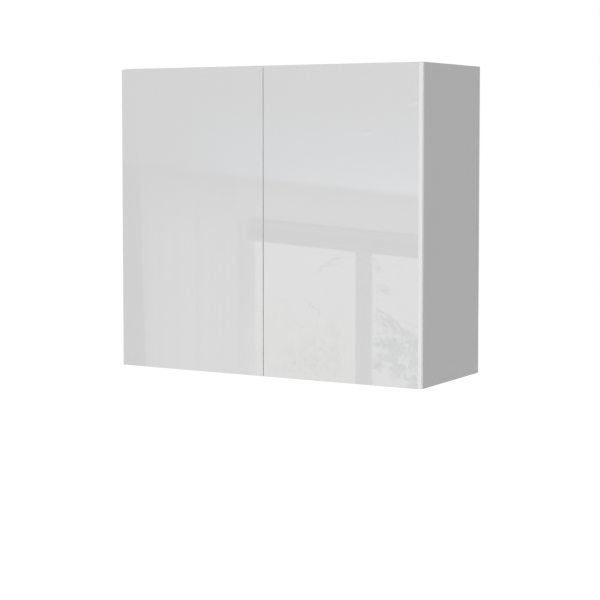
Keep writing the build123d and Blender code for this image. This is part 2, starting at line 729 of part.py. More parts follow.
def plate_screws():
    """The screws that hold the left side's hinge plates."""
    x = -INNER + PLATE_THICK
    length = PLATE_SCREW + PLATE_THICK
    return [
        screw(PLATE_SCREW_HEAD_R, PLATE_SCREW_HEAD, PLATE_SCREW_R, length, (x, y, z), (-HALF, y, z))
        for z, y in plate_screw_places()
    ]


def cup_screws():
    """The screws in the wings of the left door's cups."""
    y = DOOR_BACK + FLANGE
    length = CUP_SCREW + FLANGE
    return [
        screw(CUP_SCREW_HEAD_R, CUP_SCREW_HEAD, CUP_SCREW_R, length, (x, y, sz), (x, DOOR_FACE, sz))
        for z in HINGE_ZS
        for x, sz in cup_screw_places(z)
    ]


# Push latches

def latch_rod(radius, start, end):
    """A bar on the left latch's axis, between two distances from the latch's front end."""
    y0 = FRONT + LATCH_SETBACK
    return rod(radius, (-LATCH_X, y0 + start, LATCH_Z), (-LATCH_X, y0 + end, LATCH_Z))


def latch_holder():
    """The left latch's base plate with two ears and a saddle round the barrel."""
    y0 = FRONT + LATCH_SETBACK
    y1 = y0 + LATCH_LENGTH
    base = block(-LATCH_X - LATCH_WIDTH / 2, -LATCH_X + LATCH_WIDTH / 2, y0, y1, FLOOR, FLOOR + LATCH_BASE)
    ears = Box(LATCH_EAR_WIDTH, LATCH_EAR_LENGTH, LATCH_BASE)
    ears = fillet(ears.edges().filter_by(Axis.Z), LATCH_CORNER_R)
    base += Pos(-LATCH_X, (y0 + y1) / 2, FLOOR + LATCH_BASE / 2) * ears
    saddle = block(-LATCH_X - SADDLE_R, -LATCH_X + SADDLE_R, y0, y1, FLOOR, LATCH_Z)
    holder = base + saddle + latch_rod(SADDLE_R, 0, LATCH_LENGTH)
    holder -= latch_rod(BARREL_R + FIT, 0, LATCH_LENGTH - SADDLE_END)
    for x, y in latch_screw_places():
        holder -= rod(LATCH_SCREW_R + FIT, (x, y, FLOOR), (x, y, FLOOR + LATCH_BASE))
    return holder


def latch_barrel():
    """The left latch's barrel, which the plunger runs in."""
    end = LATCH_LENGTH - SADDLE_END
    barrel = latch_rod(BARREL_R, 0, end)
    return barrel - latch_rod(PLUNGER_R + PLUNGER_SLIP, 0, end - BARREL_CLOSED_END)


def plunger_tip():
    """Where the plunger's magnet ends, measured from the latch's front end."""
    return DOOR_BACK + STRIKE + MAGNET_GAP - FRONT - LATCH_SETBACK


def latch_plunger():
    """The left latch's plunger, behind its magnet."""
    start = plunger_tip() + MAGNET
    return latch_rod(PLUNGER_R, start, start + PLUNGER)


def latch_magnet():
    """The magnet on the plunger's end, just clear of the strike plate."""
    return latch_rod(MAGNET_R, plunger_tip(), plunger_tip() + MAGNET)


def latch_screws():
    """The left latch's two screws."""
    z = FLOOR + LATCH_BASE
    return [
        screw(LATCH_SCREW_HEAD_R, LATCH_SCREW_HEAD, LATCH_SCREW_R, LATCH_SCREW, (x, y, z), (x, y, BOTTOM))
        for x, y in latch_screw_places()
    ]


# The pieces that repeat by height, by side or by setback
pin_places = [(FRONT + setback, z) for setback in HOLE_ROWS for z in PIN_ZS]
fittings = [(-setback, upper) for setback in CAM_SETBACKS for upper in (True, False)]
dowel_places = [(y, upper) for y in dowel_ys() for upper in (True, False)]
lift_place, draw_place = hanger_screw_places()

# Carcass, one node for each board
left_side = side_panel()
save("left_side_panel", left_side)
save("right_side_panel", mirror(left_side, Plane.YZ))
save("top_panel", flat_panel(True))
save("bottom_panel", flat_panel(False))
save("back_panel", back_panel())
save("lower_shelf", shelf(PIN_ZS[0]))
save("upper_shelf", shelf(PIN_ZS[1]))
save("carcass_edge_bands", carcass_bands())
save("shelf_edge_bands", [shelf_band(z) for z in PIN_ZS])

# Carcass fittings
save("shelf_pins", both([shelf_pin(y, z) for y, z in pin_places]))
save("cam_housings", both([cam(y, upper) for y, upper in fittings]))
save("cam_bolts", both([cam_bolt(y, upper) for y, upper in fittings]))
save("cam_caps", both([cam_cap(-setback) for setback in CAM_SETBACKS]))
save("dowels", both([dowel(y, upper) for y, upper in dowel_places]))

# Hanging hardware
save("wall_rail", wall_rail())
save("hanger_draw_screws", pair(hanger_screw(draw_place)))
save("hanger_covers", pair(hanger_cover()))
for name, piece in (
    ("hanger_housing", hanger_housing()),
    ("hanger_hook", hanger_hook()),
    ("lift_screw", hanger_screw(lift_place)),
):
    save(f"left_{name}", piece)
    save(f"right_{name}", mirror(piece, Plane.YZ))

# Hinge and latch pieces that stay on the carcass
save("hinge_mounting_plates", both([hinge_plate(z) for z in HINGE_ZS]))
save("hinge_plate_screws", both(plate_screws()))
save("hinge_arm_screws", both([piece for z in HINGE_ZS for piece in arm_screws(z)]))
save("hinge_arm_pins", both([piece for z in HINGE_ZS for piece in arm_pins(z)]))
save("latch_holders", pair(latch_holder()))
save("latch_barrels", pair(latch_barrel()))
save("latch_screws", both(latch_screws()))

# What is the same on each side: the arms, and all that moves with or between door and carcass
for name, pieces in (
    ("hinge_arms", [hinge_arm(z) for z in HINGE_ZS]),
    ("outer_links", [piece for z in HINGE_ZS for piece in outer_links(z)]),
    ("inner_links", [inner_link(z) for z in HINGE_ZS]),
    ("door_core", [door_core()]),
    ("door_front", [door_front()]),
    ("door_edge_band", [door_band()]),
    ("hinge_cups", [hinge_cup(z) for z in HINGE_ZS]),
    ("cup_screws", cup_screws()),
    ("cup_pins", [piece for z in HINGE_ZS for piece in cup_pins(z)]),
    ("bumpers", [bumper(DOOR_BOTTOM + BUMPER_INSET), bumper(DOOR_TOP - BUMPER_INSET)]),
    ("strike_plate", [strike_plate()]),
    ("latch_plunger", [latch_plunger()]),
    ("latch_magnet", [latch_magnet()]),
):
    save(f"left_{name}", pieces)
    save(f"right_{name}", [mirror(piece, Plane.YZ) for piece in pieces])
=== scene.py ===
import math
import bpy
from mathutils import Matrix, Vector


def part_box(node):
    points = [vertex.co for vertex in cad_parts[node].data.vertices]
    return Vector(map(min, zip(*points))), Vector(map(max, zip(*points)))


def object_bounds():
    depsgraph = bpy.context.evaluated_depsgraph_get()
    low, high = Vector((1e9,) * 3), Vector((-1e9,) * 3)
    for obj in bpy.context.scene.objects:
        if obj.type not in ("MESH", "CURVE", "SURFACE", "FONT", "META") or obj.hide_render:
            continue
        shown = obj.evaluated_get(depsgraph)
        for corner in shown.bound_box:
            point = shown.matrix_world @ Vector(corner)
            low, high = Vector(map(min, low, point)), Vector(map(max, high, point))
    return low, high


bl_info = {
    "name": "Kitchen wall cabinet",
    "version": (1, 0, 0),
    "blender": (4, 5, 0),
    "location": "3D View > Sidebar > Cabinet",
    "description": "Gives the packed cabinet its finishes, and sets its stage, lamps and camera",
    "category": "Object",
}

import bpy
import numpy as np
from bpy.props import FloatProperty, FloatVectorProperty, PointerProperty

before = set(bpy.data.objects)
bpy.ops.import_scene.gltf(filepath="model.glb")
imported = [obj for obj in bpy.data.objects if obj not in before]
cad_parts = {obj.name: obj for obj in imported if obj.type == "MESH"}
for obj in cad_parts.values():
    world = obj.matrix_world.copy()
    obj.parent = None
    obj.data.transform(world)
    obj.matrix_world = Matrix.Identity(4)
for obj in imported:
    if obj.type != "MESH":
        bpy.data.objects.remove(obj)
CAD_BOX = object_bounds()

MM = 0.001

# Sockets of the Mix node, which has a set for each kind of data
MIX_VALUE_A, MIX_VALUE_B, MIX_VALUE = 2, 3, 0
MIX_A, MIX_B, MIX_COLOUR = 6, 7, 2


def linear(code):
    """An sRGB hex code as linear red, green and blue."""
    parts = [int(code[i : i + 2], 16) / 255 for i in (0, 2, 4)]
    return tuple(c / 12.92 if c <= 0.04045 else ((c + 0.055) / 1.055) ** 2.4 for c in parts)


def colour(title, code, description):
    """A colour that a user can change, with its default as an sRGB hex code."""
    return FloatVectorProperty(
        name=title, description=description, subtype="COLOR", size=3, min=0, max=1, default=linear(code)
    )


class CabinetColours(bpy.types.PropertyGroup):
    """The colours of the cabinet's finishes."""

    door: colour("Door", "e8e8e8", "Acrylic sheet, edge bands and white back of the doors")
    carcass: colour("Carcass", "a6a6a6", "Melamine face of the carcass boards and shelves")
    back: colour("Back", "a1a1a1", "Lacquered face of the hardboard back")
    plastic: colour("Plastic", "9f9f9e", "Hanger covers, cam caps and latch holders")


class CabinetSizes(bpy.types.PropertyGroup):
    """The sizes that a finish is drawn at."""

    particle: FloatProperty(
        name="Particle",
        description="Length of the chips in the chipboard's core",
        unit="LENGTH",
        default=0.0045,
        min=0.001,
        max=0.02,
    )
    decor: FloatProperty(
        name="Decor",
        description="Thickness of the melamine face on a board",
        unit="LENGTH",
        default=0.00025,
        min=0.0001,
        max=0.001,
    )
    wave: FloatProperty(
        name="Wave",
        description="Length of the slow waves in the doors' gloss",
        unit="LENGTH",
        default=0.08,
        min=0.005,
        max=0.5,
    )
    floor_drop: FloatProperty(
        name="Floor",
        description="Height at which the cabinet's underside hangs above the floor",
        unit="LENGTH",
        default=1.8,
        min=0.0,
        max=3.0,
    )


# Nodes and materials


def add(tree, kind, inputs=None, **settings):
    """Add one node. The settings are its attributes, and inputs are values or sockets by name or number."""
    made = tree.nodes.new(kind)
    for name, value in settings.items():
        setattr(made, name, value)
    for place, value in (inputs or {}).items():
        if isinstance(value, bpy.types.NodeSocket):
            tree.links.new(value, made.inputs[place])
        else:
            made.inputs[place].default_value = value
    return made


def blank(name, **sockets):
    """A new material: a Principled shader with the stated constant sockets, and the object's coordinates."""
    material = bpy.data.materials.new(name)
    material.use_nodes = True
    tree = material.node_tree
    tree.nodes.clear()
    shader = add(tree, "ShaderNodeBsdfPrincipled", {k.replace("_", " "): v for k, v in sockets.items()})
    add(tree, "ShaderNodeOutputMaterial", {"Surface": shader.outputs[0]})
    where = add(tree, "ShaderNodeTexCoord").outputs["Object"]
    return material, tree, shader, where


def grain(tree, where, period, stretch=(1, 1, 1), detail=2.0):
    """Noise whose lumps are period millimetres long, stretched by the stated shares along each axis."""
    turned = add(tree, "ShaderNodeMapping", {"Vector": where, "Scale": [1 / s for s in stretch]}).outputs[0]
    noise = add(tree, "ShaderNodeTexNoise", {"Vector": turned, "Scale": 1 / (period * MM), "Detail": detail})
    return noise.outputs[0]


def between(tree, share, low, high):
    """A colour between two, by a share."""
    low, high = [v if isinstance(v, bpy.types.NodeSocket) else (*v, 1) for v in (low, high)]
    mix = add(tree, "ShaderNodeMix", {0: share, MIX_A: low, MIX_B: high}, data_type="RGBA")
    return mix.outputs[MIX_COLOUR]


def levels(tree, share, low, high):
    """A number from low to high, by a share from 0.3 to 0.7, which is where noise mostly lies."""
    spread = {0: share, "From Min": 0.3, "From Max": 0.7, "To Min": low, "To Max": high}
    return add(tree, "ShaderNodeMapRange", spread).outputs[0]


def relief(tree, height, depth, below=None):
    """A bump of the stated depth in millimetres, on top of another where one is given."""
    inputs = {"Height": height, "Distance": depth * MM, "Strength": 1.0}
    if below is not None:
        inputs["Normal"] = below
    return add(tree, "ShaderNodeBump", inputs).outputs[0]


def surface(name, low, high, gloss, period, depth, stretch=(1, 1, 1), **sockets):
    """A one-stuff finish: two near colours, a roughness between two levels and a fine relief, all from one
    noise. Its period and the relief's depth are real millimetres."""
    material, tree, shader, where = blank(name, **sockets)
    lumps = grain(tree, where, period, stretch)
    tree.links.new(between(tree, lumps, low, high), shader.inputs["Base Color"])
    tree.links.new(levels(tree, lumps, *gloss), shader.inputs["Roughness"])
    tree.links.new(relief(tree, lumps, depth), shader.inputs["Normal"])
    return material


def shaded(value, share):
    """A colour made lighter or darker by a share."""
    return tuple(min(1.0, c * share) for c in value)


def compare(tree, value, operation, limit):
    """1 where a coordinate is above or below a limit, and else 0."""
    return add(tree, "ShaderNodeMath", {0: value, 1: limit}, operation=operation).outputs[0]


def dress(material, *nodes):
    """Give carried-over nodes their finish."""
    for name in nodes:
        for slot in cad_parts[name].material_slots:
            slot.material = material


# Finishes of wood-based boards

# A chip's length as a multiple of its thickness and of a fine chip's length, and the shares of the way from
# a board's middle to its face where the fine chips begin and are alone
CHIP_FLATNESS = 2.6
CHIP_TO_FINE = 3
FINE_CHIPS = (0.45, 0.7)


def chipboard(tree, where, axis, middle, half, length):
    """Raw chipboard: flat chips in glue, coarse in the middle of the board and fine near its faces."""
    flat = [1.0, 1.0, 1.0]
    flat[axis] = CHIP_FLATNESS
    turned = add(tree, "ShaderNodeMapping", {"Vector": where, "Scale": flat}).outputs[0]
    coarse = add(tree, "ShaderNodeTexVoronoi", {"Vector": turned, "Scale": 1 / length})
    fine = add(tree, "ShaderNodeTexVoronoi", {"Vector": turned, "Scale": CHIP_TO_FINE / length})
    place = add(tree, "ShaderNodeSeparateXYZ", {0: where}).outputs[axis]
    offset = add(tree, "ShaderNodeMath", {0: place, 1: middle}, operation="SUBTRACT").outputs[0]
    depth = add(tree, "ShaderNodeMath", {0: offset}, operation="ABSOLUTE").outputs[0]
    start, full = FINE_CHIPS
    spread = {0: depth, "From Min": start * half, "From Max": full * half}
    outer = add(tree, "ShaderNodeMapRange", spread).outputs[0]
    tones = []
    for cells, dark, light in ((coarse, "7d5f3e", "dcc39a"), (fine, "a1845c", "d8c19c")):
        tone = add(tree, "ShaderNodeSeparateColor", {0: cells.outputs["Color"]}).outputs[0]
        tones.append(between(tree, tone, linear(dark), linear(light)))
    edge = {0: coarse.outputs["Distance"], "From Min": 0.2, "From Max": 0.7, "To Min": 1, "To Max": 0}
    gaps = add(tree, "ShaderNodeMapRange", edge).outputs[0]
    return between(tree, outer, *tones), gaps, depth


def faced_board(node, axis, face, sizes, banded_low=False):
    """Melamine-faced chipboard. The face is a thin matt paper in resin with a pearly touch. What a cut or a
    bore lays bare is the raw core, apart from a side's lower end where banded_low is set."""
    low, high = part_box(node)
    middle, half = (low[axis] + high[axis]) / 2, (high[axis] - low[axis]) / 2
    material, tree, shader, where = blank(f"melamine_faced_chipboard_{node}", IOR=1.5)
    core, gaps, depth = chipboard(tree, where, axis, middle, half, sizes.particle)
    bare = compare(tree, depth, "LESS_THAN", half - sizes.decor)
    if banded_low:
        height = add(tree, "ShaderNodeSeparateXYZ", {0: where}).outputs[2]
        banded = compare(tree, height, "GREATER_THAN", low[2] + sizes.decor)
        bare = add(tree, "ShaderNodeMath", {0: bare, 1: banded}, operation="MULTIPLY").outputs[0]
    # the pearl is really about 0.5 mm long, and is drawn longer so that it shows
    pearl = grain(tree, where, 2.5)
    decor = between(tree, pearl, shaded(face, 0.985), shaded(face, 1.015))
    tree.links.new(between(tree, bare, decor, core), shader.inputs["Base Color"])
    matt = levels(tree, pearl, 0.5, 0.58)
    rough = add(tree, "ShaderNodeMix", {0: bare, MIX_VALUE_A: matt, MIX_VALUE_B: 0.9})
    tree.links.new(rough.outputs[MIX_VALUE], shader.inputs["Roughness"])
    pits = add(tree, "ShaderNodeMath", {0: gaps, 1: bare}, operation="MULTIPLY").outputs[0]
    tree.links.new(relief(tree, pits, 0.35, relief(tree, pearl, 0.02)), shader.inputs["Normal"])
    return material


def hardboard(face):
    """Hardboard, lacquered on the side that faces into the cabinet. It is bare fibre behind and at its
    edges."""
    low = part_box("back_panel")[0]
    material, tree, shader, where = blank("lacquered_hardboard", IOR=1.5)
    depth = add(tree, "ShaderNodeSeparateXYZ", {0: where}).outputs[1]
    bare = compare(tree, depth, "GREATER_THAN", low[1] + 0.1 * MM)
    fibres = grain(tree, where, 3.0, (4, 1, 1), 5.0)
    clouds = grain(tree, where, 60.0)
    brown = between(tree, fibres, linear("6b4a2e"), linear("8c6744"))
    brown = between(tree, levels(tree, clouds, 0, 0.5), brown, linear("7a5637"))
    lacquer = between(tree, fibres, shaded(face, 0.98), shaded(face, 1.02))
    tree.links.new(between(tree, bare, lacquer, brown), shader.inputs["Base Color"])
    gloss = add(tree, "ShaderNodeMix", {0: bare, MIX_VALUE_A: 0.42, MIX_VALUE_B: 0.62})
    tree.links.new(gloss.outputs[MIX_VALUE], shader.inputs["Roughness"])
    tree.links.new(relief(tree, fibres, 0.06), shader.inputs["Normal"])
    return material


def door_board(face):
    """Medium-density board: even brown fibre where it is bored, under a white melamine back."""
    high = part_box("left_door_core")[1]
    material, tree, shader, where = blank("melamine_backed_fibreboard", IOR=1.5)
    depth = add(tree, "ShaderNodeSeparateXYZ", {0: where}).outputs[1]
    bare = compare(tree, depth, "LESS_THAN", high[1] - 0.2 * MM)
    fibres = grain(tree, where, 1.5, (2, 2, 1), 4.0)
    pearl = grain(tree, where, 2.5)
    fibre = between(tree, fibres, linear("a5845c"), linear("bf9e74"))
    back = between(tree, pearl, shaded(face, 0.955), shaded(face, 0.985))
    tree.links.new(between(tree, bare, back, fibre), shader.inputs["Base Color"])
    satin = levels(tree, pearl, 0.38, 0.46)
    gloss = add(tree, "ShaderNodeMix", {0: bare, MIX_VALUE_A: satin, MIX_VALUE_B: 0.85})
    tree.links.new(gloss.outputs[MIX_VALUE], shader.inputs["Roughness"])
    tree.links.new(relief(tree, pearl, 0.02), shader.inputs["Normal"])
    return material


def acrylic(face, wave):
    """Polished acrylic sheet, which mirrors the room sharply. Its lamination leaves slow waves of a few
    thousandths of a millimetre, and its dust-fine marks only take the edge off the mirror."""
    material, tree, shader, where = blank("acrylic_high_gloss", IOR=1.49)
    slow = grain(tree, where, wave / MM, (1, 1, 1.6), 0.0)
    low, high = shaded(face, 0.998), shaded(face, 1.002)
    tree.links.new(between(tree, slow, low, high), shader.inputs["Base Color"])
    haze = grain(tree, where, 9.0)
    tree.links.new(levels(tree, haze, 0.006, 0.014), shader.inputs["Roughness"])
    tree.links.new(relief(tree, slow, 0.002), shader.inputs["Normal"])
    return material


# Pieces


class CABINET_OT_boards(bpy.types.Operator):
    """Give the carcass boards and shelves their melamine faces and raw cores"""

    bl_idname = "cabinet.boards"
    bl_label = "Boards and shelves"

    def execute(self, context):
        face, sizes = context.scene.cabinet_colours.carcass, context.scene.cabinet_sizes
        for node in ("left_side_panel", "right_side_panel"):
            dress(faced_board(node, 0, face, sizes, True), node)
        for node in ("top_panel", "bottom_panel", "upper_shelf", "lower_shelf"):
            dress(faced_board(node, 2, face, sizes), node)
        return {"FINISHED"}


class CABINET_OT_bands(bpy.types.Operator):
    """Give the carcass its white front edges and the shelves their grey ones"""

    bl_idname = "cabinet.bands"
    bl_label = "Edge bands"

    def execute(self, context):
        colours = context.scene.cabinet_colours
        white, grey = colours.door, colours.carcass
        # extruded ABS in the doors' white, satin from its rollers
        low, high = shaded(white, 0.99), shaded(white, 1.0)
        satin = surface("satin_abs_edge_band", low, high, (0.3, 0.38), 2.0, 0.01, IOR=1.52)
        dress(satin, "carcass_edge_bands")
        # extruded ABS, embossed to match the board's face
        low, high = shaded(grey, 0.985), shaded(grey, 1.02)
        embossed = surface("embossed_abs_edge_band", low, high, (0.44, 0.52), 2.0, 0.02, IOR=1.52)
        dress(embossed, "shelf_edge_bands")
        return {"FINISHED"}


class CABINET_OT_back(bpy.types.Operator):
    """Give the back panel its lacquer and its bare fibre"""

    bl_idname = "cabinet.back"
    bl_label = "Back panel"

    def execute(self, context):
        dress(hardboard(context.scene.cabinet_colours.back), "back_panel")
        return {"FINISHED"}


class CABINET_OT_doors(bpy.types.Operator):
    """Give both doors their glossy sheet, edge band and white back"""

    bl_idname = "cabinet.doors"
    bl_label = "Doors"

    def execute(self, context):
        face, sizes = context.scene.cabinet_colours.door, context.scene.cabinet_sizes
        dress(acrylic(face, sizes.wave), "left_door_front", "right_door_front")
        dress(door_board(face), "left_door_core", "right_door_core")
        # extruded ABS, buffed after trimming, which leaves faint lines along the edge
        low, high = shaded(face, 1.0), shaded(face, 1.02)
        band = surface("buffed_abs_edge_band", low, high, (0.08, 0.14), 4.0, 0.004, (1, 1, 8), IOR=1.52)
        dress(band, "left_door_edge_band", "right_door_edge_band")
        # soft polyurethane, cast clear
        low, high = linear("f2f2ef"), linear("f7f7f5")
        clear = surface(
            "cast_clear_polyurethane", low, high, (0.12, 0.2), 1.5, 0.02, IOR=1.5, Transmission_Weight=0.85
        )
        dress(clear, "left_bumpers", "right_bumpers")
        return {"FINISHED"}


class CABINET_OT_hinges(bpy.types.Operator):
    """Give the hinges their nickel and their screws their zinc"""

    bl_idname = "cabinet.hinges"
    bl_label = "Cup hinges"

    def execute(self, context):
        # rolled sheet, pressed and nickel-plated: warm grey, with the rolling's faint lines
        low, high = linear("c4c1ba"), linear("d3d0ca")
        nickel = surface(
            "nickel_plated_pressed_steel", low, high, (0.2, 0.3), 1.2, 0.006, (1, 6, 1), Metallic=1.0
        )
        # turned and bright zinc-plated: a little bluer and duller
        low, high = linear("b3b6b9"), linear("c6c8cb")
        zinc = surface("bright_zinc_plated_steel", low, high, (0.28, 0.4), 0.8, 0.01, Metallic=1.0)
        dress(nickel, "hinge_mounting_plates", "shelf_pins")
        dress(zinc, "hinge_plate_screws", "hinge_arm_screws", "hinge_arm_pins")
        for side in ("left", "right"):
            for name in ("hinge_arms", "outer_links", "inner_links", "hinge_cups"):
                dress(nickel, f"{side}_{name}")
            for name in ("cup_screws", "cup_pins", "strike_plate"):
                dress(zinc, f"{side}_{name}")
        return {"FINISHED"}


class CABINET_OT_fittings(bpy.types.Operator):
    """Give the cams, bolts, caps and dowels of the corner joints their finishes"""

    bl_idname = "cabinet.fittings"
    bl_label = "Corner fittings"

    def execute(self, context):
        plastic = context.scene.cabinet_colours.plastic
        # die-cast zinc: dull grey, a little cloudy from the die
        low, high = linear("908f8b"), linear("a9a8a4")
        cast = surface("die_cast_zinc", low, high, (0.42, 0.58), 2.5, 0.05, Metallic=1.0)
        dress(cast, "cam_housings")
        # machine steel with a thin coat of zinc, its thread cut
        low, high = linear("a9abad"), linear("bcbec0")
        steel = surface("zinc_plated_machine_steel", low, high, (0.3, 0.45), 0.7, 0.03, Metallic=1.0)
        dress(steel, "cam_bolts")
        # moulded polyamide with a spark-eroded face
        low, high = shaded(plastic, 0.98), shaded(plastic, 1.03)
        cap = surface("moulded_polyamide_cap", low, high, (0.5, 0.6), 0.9, 0.03, IOR=1.53)
        dress(cap, "cam_caps")
        # turned and fluted beech, grain along the dowel
        low, high = linear("b98f62"), linear("dcb88c")
        beech = surface("turned_beech", low, high, (0.55, 0.7), 1.2, 0.08, (9, 1, 1), IOR=1.5)
        dress(beech, "dowels")
        return {"FINISHED"}


class CABINET_OT_hangers(bpy.types.Operator):
    """Give the wall rail, hangers and covers their finishes"""

    bl_idname = "cabinet.hangers"
    bl_label = "Hangers and wall rail"

    def execute(self, context):
        plastic = context.scene.cabinet_colours.plastic
        # hot-dip galvanized strip: crystals some millimetres wide, each with its own tone and gloss
        rail, tree, shader, where = blank("hot_dip_galvanized_strip", Metallic=1.0)
        cells = add(tree, "ShaderNodeTexVoronoi", {"Vector": where, "Scale": 1 / (7 * MM)})
        tone = add(tree, "ShaderNodeSeparateColor", {0: cells.outputs["Color"]}).outputs[0]
        dust = grain(tree, where, 1.5)
        tinted = between(tree, tone, linear("a4a8ac"), linear("c2c5c8"))
        dusty = between(tree, levels(tree, dust, 0, 0.4), tinted, linear("b0b3b6"))
        tree.links.new(dusty, shader.inputs["Base Color"])
        tree.links.new(levels(tree, tone, 0.3, 0.42), shader.inputs["Roughness"])
        tree.links.new(relief(tree, dust, 0.01), shader.inputs["Normal"])
        dress(rail, "wall_rail")
        # pressed sheet with a thin bright coat of zinc
        low, high = linear("b0b3b6"), linear("c4c6c9")
        plate = surface("zinc_plated_pressed_steel", low, high, (0.26, 0.38), 1.0, 0.012, Metallic=1.0)
        dress(plate, "hanger_draw_screws")
        for side in ("left", "right"):
            dress(plate, f"{side}_hanger_housing", f"{side}_hanger_hook", f"{side}_lift_screw")
        # moulded polypropylene, a soft sheen over a fine texture
        low, high = plastic, shaded(plastic, 1.05)
        cover = surface("moulded_polypropylene", low, high, (0.42, 0.52), 0.8, 0.03, IOR=1.5)
        dress(cover, "hanger_covers")
        return {"FINISHED"}


class CABINET_OT_latches(bpy.types.Operator):
    """Give the push latches their finishes"""

    bl_idname = "cabinet.latches"
    bl_label = "Push latches"

    def execute(self, context):
        plastic = context.scene.cabinet_colours.plastic
        # glass-filled polyamide, matt from its mould
        low, high = shaded(plastic, 0.97), shaded(plastic, 1.03)
        holder = surface("moulded_polyamide_holder", low, high, (0.48, 0.6), 1.0, 0.04, IOR=1.53)
        dress(holder, "latch_holders")
        # acetal, smooth and a little waxy
        low, high = linear("dedfdd"), linear("e8e8e6")
        acetal = surface("moulded_acetal", low, high, (0.24, 0.34), 1.6, 0.01, IOR=1.48)
        dress(acetal, "latch_barrels", "left_latch_plunger", "right_latch_plunger")
        # sintered ferrite, ground on its face
        low, high = linear("2d2d30"), linear("3c3c3f")
        ferrite = surface("sintered_ferrite", low, high, (0.4, 0.55), 0.6, 0.03, IOR=1.9)
        dress(ferrite, "left_latch_magnet", "right_latch_magnet")
        # small wood screws with a bright coat of zinc
        low, high = linear("b1b4b7"), linear("c3c6c9")
        screws = surface("zinc_plated_screw_steel", low, high, (0.28, 0.4), 0.8, 0.01, Metallic=1.0)
        dress(screws, "latch_screws")
        return {"FINISHED"}


# The room that the doors mirror, on an upright card. Its places are metres along the card and above the
# rail, and a glow is the strength of the light that comes from a place.

# The card's turn about the upright, its distance from the doors, and its ends each way
ROOM_TURN = math.radians(29)
ROOM_DISTANCE = 4.2
ROOM_SPAN = (-16.0, 12.0)
ROOM_HEIGHTS = (-2.3, 2.4)

# Half the width of a sharp edge, and of the soft one between wall and ceiling
SHARP = 0.004
CORNICE_SOFT = 0.022

# The edge between wall and ceiling: its place, height and slope there, and how far it slopes on both sides
# of the place. Then the length from that place to the brightest part of the room
CORNICE = (-9.82, -0.344, -0.0316)
CORNICE_STRETCH = (-2.0, 4.7)
ROOM_LENGTH = 4.43

# The ceiling's glow and its gain towards the brightest part
CEILING = (0.5, 0.47)

# What the ceiling has more near the wall: glow, gain and the distance of the fall-off
CEILING_NEAR_WALL = (0.05, 1.45, 0.28)

# The shade on the ceiling along the wall: depth and distance of the fall-off, and where it starts and is
# full as shares of the way to the brightest part
CEILING_SHADE = (0.38, 0.08)
CEILING_SHADE_ENDS = (0.66, 0.46)

# How much more blue than red the ceiling has at most, and green's part of that. Then the shares of the way
# to the brightest part, and the distances from the wall, where this starts and is full
CEILING_BLUE, CEILING_GREEN = 0.5, 0.4
CEILING_BLUE_SHARES = (0.25, 0.45)
CEILING_BLUE_DISTANCES = (0.55, 0.3)

# The wall's glow at the cornice, its gain towards the brightest part, its gain for each metre down, what
# that gain loses towards the brightest part, and the limit of the glow
WALL = (0.35, 0.58, 4.2, 1.2, 1.65)

# Where each window starts, and how far before that its part of the wall begins. Places below that belong to
# a window are metres from its start
WINDOWS = (-7.5, -1.6, 4.2)
WINDOW_LEAD = 2.9

# The curtain's two sides, and its creases with half their width and their depth
CURTAIN = (-1.98, -0.29)
CREASES = (-1.632, -1.326, -0.918, -0.498, -0.21)
CREASE_WIDTH, CREASE_DEPTH = 0.035, 0.3

# The curtain's ripples: length, height and shift of each sine, the depth of all, and how far below the
# cornice ripples and creases start and are full
RIPPLES = ((0.113, 1.0, 0.0), (0.071, 0.7, 1.0), (0.29, 1.0, 0.0))
RIPPLE_DEPTH = 0.07
FOLD_DEPTHS = (0.0, 0.5)

# The cloth: its full glow, what it lacks at its dark side, and the distance of that fall-off
CLOTH = (1.82, 0.9, 0.45)

# The cloth at the cornice: its glow, its gain towards the brightest part, and the distance of the fall-off
CLOTH_AT_CORNICE = (0.27, 0.3, 0.35)

# The dark corner beside the curtain: its lean, its glow, its far part's glow, and how far from the corner
# that part starts and is full
CORNER_LEAN = 0.058
CORNER_GLOW, CORNER_FAR_GLOW = 0.12, 0.05
CORNER_FAR = (0.1, 0.16)

# The wall between curtain and window: its glow at the cornice and gain for each metre down, and how far
# below the cornice it starts and is full
PIER = (0.8, 0.55)
PIER_DEPTHS = (0.15, 0.35)

# The lintel's steps: upper edge at the window's start, fall for each metre along, and glow. Then its ends
LINTEL = ((-0.716, 0.0091, 0.12), (-0.73, 0.0091, 0.56), (-0.788, 0.0, 0.28), (-0.844, 0.0, 0.42))
LINTEL_ENDS = (-0.1, 3.07)

# The panes' two ends and upper edge, and the glow of the bars round them
PANES = ((0.0, 1.385), (1.588, 2.97))
PANE_TOP = -0.887
BAR_GLOW = 0.58

# The jamb before the first pane: its glow at the cornice's height and gain for each metre down
JAMB = (0.9, 0.7)

# The sky's glow, what haze takes of its red, green and blue, and the heights where haze starts and is full
SKY = 2.64
HAZE = (0.12, 0.08, 0.4)
HAZE_HEIGHTS = (-1.25, -1.7)

# The card's columns: their step, the closer step over the curtain, and how far that goes past its dark side
# and past the window's start
COLUMN_STEP, CLOTH_STEP = 0.06, 0.012
CLOTH_LEAD, CLOTH_PAST = 0.3, 0.01

# The card's rows: the heights up to which they are level and from which they follow the cornice, the height
# where the close ones end, and the steps of the low, close and far ones
LEVEL_ROWS = (-0.68, -0.5)
CLOSE_ROWS_END = 0.8
LOW_ROW_STEP, ROW_STEP, FAR_ROW_STEP = 0.03, 0.02, 0.1

# How far above and below the lintel's sloping steps the rows go from level to sunk
SINK_FADE = 0.048

# How far before the card the flat shapes stand, and each before the last, and the points of their outlines
SHAPES_FORWARD, SHAPE_GAP = 0.005, 0.00002
OUTLINE_POINTS = 8

